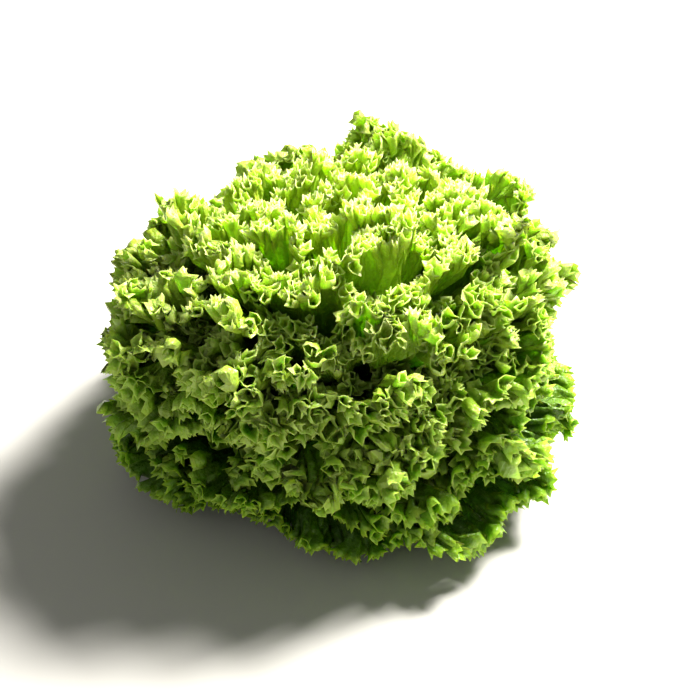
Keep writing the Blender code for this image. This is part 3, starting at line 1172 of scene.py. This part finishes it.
@dataclass(frozen=True)
class LeafFinish:
    """The waxy, translucent skin of a leaf, with its veins and its pale edge.

    The pale edge also carries a painted highlight, the blade inside the head is darkened with
    painted shade, and the colour by age also paints light on the crown and shade on the low leaves.
    """

    # heart and outside: the real paler young leaves of the heart and deeper green old ones outside,
    # with painted light on the crown and painted shade on the low leaves.
    heart: Triple = (0.62, 0.82, 0.055)
    outside: Triple = (0.066, 0.170, 0.001)
    # blade and old_blade_shade darken the blade away from its frills: painted shade in the hollows
    # between the leaves.
    blade: Triple = (0.68, 0.82, 0.45)
    old_blade_shade: Triple = (0.26, 0.40, 0.40)
    # edge and old_edge_highlight: the real pale margin, brightened further with a painted
    # highlight.
    edge: Triple = (0.77, 0.93, 0.40)
    old_edge_highlight: Triple = (0.33, 0.56, 0.02)
    edge_highlight_share: float = 0.8
    roughness: float = 0.36
    gloss: float = 0.30
    glow: float = 0.40
    glow_radius: Triple = (0.6, 1.0, 0.10)
    glow_scale: float = 0.003
    crinkles_a_metre: float = 170.0
    crinkle_depth: float = 0.0028
    veins: Triple = (38.0, 22.0, 1.0)
    vein_width: float = 0.09
    vein_share: float = 0.12
    vein_strength: float = 0.35
    vein_depth: float = 0.0006

    def make(self) -> bpy.types.Material:
        """Makes the finish.

        Returns:
            The material.
        """
        nodes = Nodes("leaf_skin")
        # The leaf's age down the head; it also sets painted light on the crown and painted shade on
        # the low leaves.
        age = nodes.attribute("age")
        body = nodes.blend(age, self.heart, self.outside)
        # Painted shade: the blade deep in the head, away from the frills, is darkened.
        deep = nodes.blend(1.0, body, nodes.blend(age, self.blade, self.old_blade_shade), "MULTIPLY")
        body = nodes.blend(nodes.attribute("frilled"), deep, body)
        veins = self._veins(nodes)
        # The pale colour of the veins and of the margin, on which it is also a painted highlight.
        pale = nodes.blend(age, self.edge, self.old_edge_highlight)
        body = nodes.blend(nodes.sum("MULTIPLY", veins, self.vein_share), body, pale)
        # Painted highlight along the margin, laid over its real pale rim.
        rim = nodes.sum("MULTIPLY", nodes.attribute("edge"), self.edge_highlight_share)
        nodes.link(nodes.blend(rim, body, pale), nodes.shader.inputs["Base Color"])
        nodes.link(self._puckered(nodes, veins), nodes.shader.inputs["Normal"])
        nodes.surface(self.roughness, self.gloss)
        nodes.glow(self.glow, self.glow_radius, self.glow_scale)
        return nodes.material

    def _puckered(self, nodes: Nodes, veins: bpy.types.NodeSocket) -> bpy.types.NodeSocket:
        """Puckers the blade between its veins and raises the veins.

        Args:
            nodes: the material that they belong to.
            veins: 1 on the veins.

        Returns:
            The bent normal.
        """
        crinkles = nodes.tree.nodes.new("ShaderNodeBump")
        crinkles.inputs["Distance"].default_value = self.crinkle_depth
        nodes.link(nodes.grain(self.crinkles_a_metre), crinkles.inputs["Height"])
        raised = nodes.tree.nodes.new("ShaderNodeBump")
        raised.inputs["Strength"].default_value = self.vein_strength
        raised.inputs["Distance"].default_value = self.vein_depth
        nodes.link(veins, raised.inputs["Height"])
        nodes.link(crinkles.outputs["Normal"], raised.inputs["Normal"])
        return raised.outputs["Normal"]

    def _veins(self, nodes: Nodes) -> bpy.types.NodeSocket:
        """Draws veins that fan out over the blade and net together.

        Args:
            nodes: the material that they belong to.

        Returns:
            1 on the veins, falling to 0 beside them.
        """
        coordinate = nodes.tree.nodes.new("ShaderNodeUVMap")
        coordinate.uv_map = "blade"
        stretch = nodes.tree.nodes.new("ShaderNodeMapping")
        stretch.inputs["Scale"].default_value = self.veins
        nodes.link(coordinate.outputs["UV"], stretch.inputs["Vector"])
        cells = nodes.tree.nodes.new("ShaderNodeTexVoronoi")
        cells.feature = "DISTANCE_TO_EDGE"
        nodes.link(stretch.outputs["Vector"], cells.inputs["Vector"])
        near = nodes.sum("DIVIDE", cells.outputs["Distance"], self.vein_width)
        held = nodes.sum("MINIMUM", near, 1.0)
        return nodes.sum("SUBTRACT", 1.0, held)


@dataclass(frozen=True)
class StemFinish:
    """The firm pale flesh of the stem, browned where it was cut."""

    flesh: Triple = (0.72, 0.76, 0.42)
    browned: Triple = (0.42, 0.24, 0.08)
    core: float = 0.0105
    rim: float = 0.0150
    cut_height: float = 0.0008
    grains_a_metre: float = 400.0
    roughness: float = 0.45
    gloss: float = 0.5
    glow: float = 0.2
    glow_radius: Triple = (1.0, 0.9, 0.4)
    glow_scale: float = 0.003

    def make(self) -> bpy.types.Material:
        """Makes the finish, with a brown ring on the cut face.

        Returns:
            The material.
        """
        nodes = Nodes("stem_flesh")
        parts = nodes.tree.nodes.new("ShaderNodeSeparateXYZ")
        nodes.link(nodes.place(), parts.inputs["Vector"])
        wide = nodes.sum("MULTIPLY", parts.outputs["X"], parts.outputs["X"])
        deep = nodes.sum("MULTIPLY", parts.outputs["Y"], parts.outputs["Y"])
        radius = nodes.sum("SQRT", nodes.sum("ADD", wide, deep), 0.0)
        ring = nodes.sum("DIVIDE", nodes.sum("SUBTRACT", radius, self.core), self.rim - self.core)
        cut = nodes.sum("LESS_THAN", parts.outputs["Z"], self.cut_height)
        stain = nodes.sum("MULTIPLY", nodes.sum("MAXIMUM", ring, 0.0), cut)
        stain = nodes.sum("MULTIPLY", stain, nodes.grain(self.grains_a_metre))
        stained = nodes.blend(stain, self.flesh, self.browned)
        nodes.link(stained, nodes.shader.inputs["Base Color"])
        nodes.surface(self.roughness, self.gloss)
        nodes.glow(self.glow, self.glow_radius, self.glow_scale)
        return nodes.material


@dataclass
class ScarredStem:
    """The stem with the grooves over which its leaves grow."""

    shape: StemShape
    sides: int = 96
    rings: int = 80
    groove: float = 0.0005
    groove_wide: float = 0.005
    groove_tall: float = 0.0010
    plain_middle: float = 0.001
    middle_fade: float = 0.003
    least_radius: float = 1e-6
    flattest: float = 0.9

    def _profile(self) -> list[Vector]:
        """Draws the outline that is turned.

        Returns:
            Its points, from the middle of the cut face up to the tip.
        """
        heights = [self.shape.height * ring / self.rings for ring in range(self.rings + 1)]
        side = [Vector((self.shape.radius_at(height), 0, height)) for height in heights]
        return [Vector((0, 0, 0)), *side, Vector((0, 0, self.shape.height))]

    def _grooved(self, points: np.ndarray, shells: list[Shell]) -> np.ndarray:
        """Sinks a groove over each root.

        Args:
            points: the stem's vertices.
            shells: the shells of the leaves.

        Returns:
            The vertices with the grooves.
        """
        radius = np.maximum(np.hypot(points[:, 0], points[:, 1]), self.least_radius)
        turn = np.arctan2(points[:, 1], points[:, 0])
        sunk = np.zeros(len(points))
        for shell in shells:
            apart = (turn - shell.azimuth + math.pi) % (2 * math.pi) - math.pi
            beside = (apart * radius / self.groove_wide) ** 2
            above = ((points[:, 2] - shell.root[1] - 2 * self.groove_tall) / self.groove_tall) ** 2
            sunk = np.maximum(sunk, np.exp(-beside - above))
        sunk = self.groove * sunk * np.clip((radius - self.plain_middle) / self.middle_fade, 0, 1)
        points[:, :2] *= (1 - sunk / radius)[:, None]
        return points

    def build(self, shells: list[Shell], material: bpy.types.Material) -> bpy.types.Object:
        """Turns the stem.

        Args:
            shells: the shells of the leaves.
            material: the stem's finish.

        Returns:
            The stem's object.
        """
        mesh = bmesh.new()
        verts = [mesh.verts.new(point) for point in self._profile()]
        edges = [mesh.edges.new(pair) for pair in zip(verts, verts[1:])]
        bmesh.ops.spin(
            mesh, geom=verts + edges, axis=(0, 0, 1), cent=(0, 0, 0), steps=self.sides,
            angle=2 * math.pi, use_merge=True,
        )
        bmesh.ops.remove_doubles(mesh, verts=mesh.verts[:], dist=self.least_radius)
        bmesh.ops.recalc_face_normals(mesh, faces=mesh.faces[:])
        points = self._grooved(np.array([vert.co for vert in mesh.verts]), shells)
        for vert, point in zip(mesh.verts, points):
            vert.co = point
        for face in mesh.faces:
            face.smooth = abs(face.normal.z) < self.flattest
        data = bpy.data.meshes.new("scarred_stem")
        mesh.to_mesh(data)
        mesh.free()
        data.materials.append(material)
        stem = bpy.data.objects.new("scarred_stem", data)
        bpy.context.scene.collection.objects.link(stem)
        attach(stem, "root")
        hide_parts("stem")
        return stem


@dataclass(frozen=True)
class Lamp:
    """A soft square light.

    Args:
        name: its name.
        place: where it hangs.
        size: its side in metres.
        power: its power in watts.
        colour: its colour.
    """

    name: str
    place: Triple
    size: float
    power: float
    colour: Triple


@dataclass
class Studio:
    """A pale floor, soft lights and the camera at the photograph's angle."""

    elevation: float = math.radians(37.0)
    distance: float = 0.742
    focal_pixels: float = 1299.0
    half_frame: float = 348.0
    nearest: float = 0.01
    aim: Triple = (0.006, 0.0, 0.070)
    lit: Triple = (0.0, 0.0, 0.09)
    floor_half: float = 3.0
    floor_colour: Triple = (0.72, 0.71, 0.69)
    floor_roughness: float = 0.85
    key: Lamp = Lamp("key", (0.72, 0.48, 1.15), 0.50, 86, (1.0, 0.97, 0.90))
    fill: Lamp = Lamp("fill", (-0.9, -1.0, 0.9), 1.2, 1.5, (1.0, 0.98, 0.90))
    sky: Triple = (1.0, 1.0, 0.94)
    sky_strength: float = 0.16

    def build(self) -> None:
        """Sets up the stage round the head."""
        self._floor()
        self._lights()
        self._camera()

    def _floor(self) -> None:
        """Lays the pale floor."""
        mesh = bmesh.new()
        bmesh.ops.create_grid(mesh, x_segments=1, y_segments=1, size=self.floor_half)
        data = bpy.data.meshes.new("floor")
        mesh.to_mesh(data)
        mesh.free()
        material = bpy.data.materials.new("pale_floor")
        material.use_nodes = True
        shader = material.node_tree.nodes["Principled BSDF"]
        shader.inputs["Base Color"].default_value = (*self.floor_colour, 1)
        shader.inputs["Roughness"].default_value = self.floor_roughness
        data.materials.append(material)
        floor = bpy.data.objects.new("floor", data)
        bpy.context.scene.collection.objects.link(floor)

    def _hang(self, lamp: Lamp) -> None:
        """Hangs a light that faces the head.

        Args:
            lamp: the light.
        """
        light = bpy.data.lights.new(lamp.name, "AREA")
        light.energy = lamp.power
        light.size = lamp.size
        light.color = lamp.colour
        hung = bpy.data.objects.new(lamp.name, light)
        hung.location = lamp.place
        away = Vector(lamp.place) - Vector(self.lit)
        hung.rotation_mode = "QUATERNION"
        hung.rotation_quaternion = away.to_track_quat("Z", "Y")
        bpy.context.scene.collection.objects.link(hung)

    def _lights(self) -> None:
        """Sets a key light behind on the right, a fill in front and a pale sky."""
        self._hang(self.key)
        self._hang(self.fill)
        world = bpy.data.worlds.new("studio")
        world.use_nodes = True
        background = world.node_tree.nodes["Background"]
        background.inputs["Color"].default_value = (*self.sky, 1)
        background.inputs["Strength"].default_value = self.sky_strength
        bpy.context.scene.world = world
        bpy.context.scene.view_settings.view_transform = "Standard"

    def _camera(self) -> None:
        """Places the camera."""
        camera = bpy.data.objects.new("camera", bpy.data.cameras.new("camera"))
        back = Vector((0, -math.cos(self.elevation), math.sin(self.elevation)))
        camera.data.angle = 2 * math.atan(self.half_frame / self.focal_pixels)
        camera.data.clip_start = self.nearest
        camera.location = Vector(self.aim) + back * self.distance
        camera.rotation_mode = "QUATERNION"
        camera.rotation_quaternion = back.to_track_quat("Z", "Y")
        bpy.context.scene.collection.objects.link(camera)
        bpy.context.scene.camera = camera


def main() -> None:
    """Builds the head, its finishes and the studio, and reports each piece."""
    logging.basicConfig(level=logging.INFO, format="%(message)s")
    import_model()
    canopy = Canopy()
    stem = StemShape()
    head = Head(canopy, stem)
    meander = Meander()
    leaf_skin = LeafFinish().make()
    for shell in head.shells:
        leaf = Leaf(shell, head, Frill(), meander).build(leaf_skin)
        log.info("%s: %d faces", leaf.name, len(leaf.data.polygons))
    stalk = ScarredStem(stem).build(head.shells, StemFinish().make())
    log.info("%s: %d faces", stalk.name, len(stalk.data.polygons))
    Studio().build()


if __name__ == "__main__":
    main()
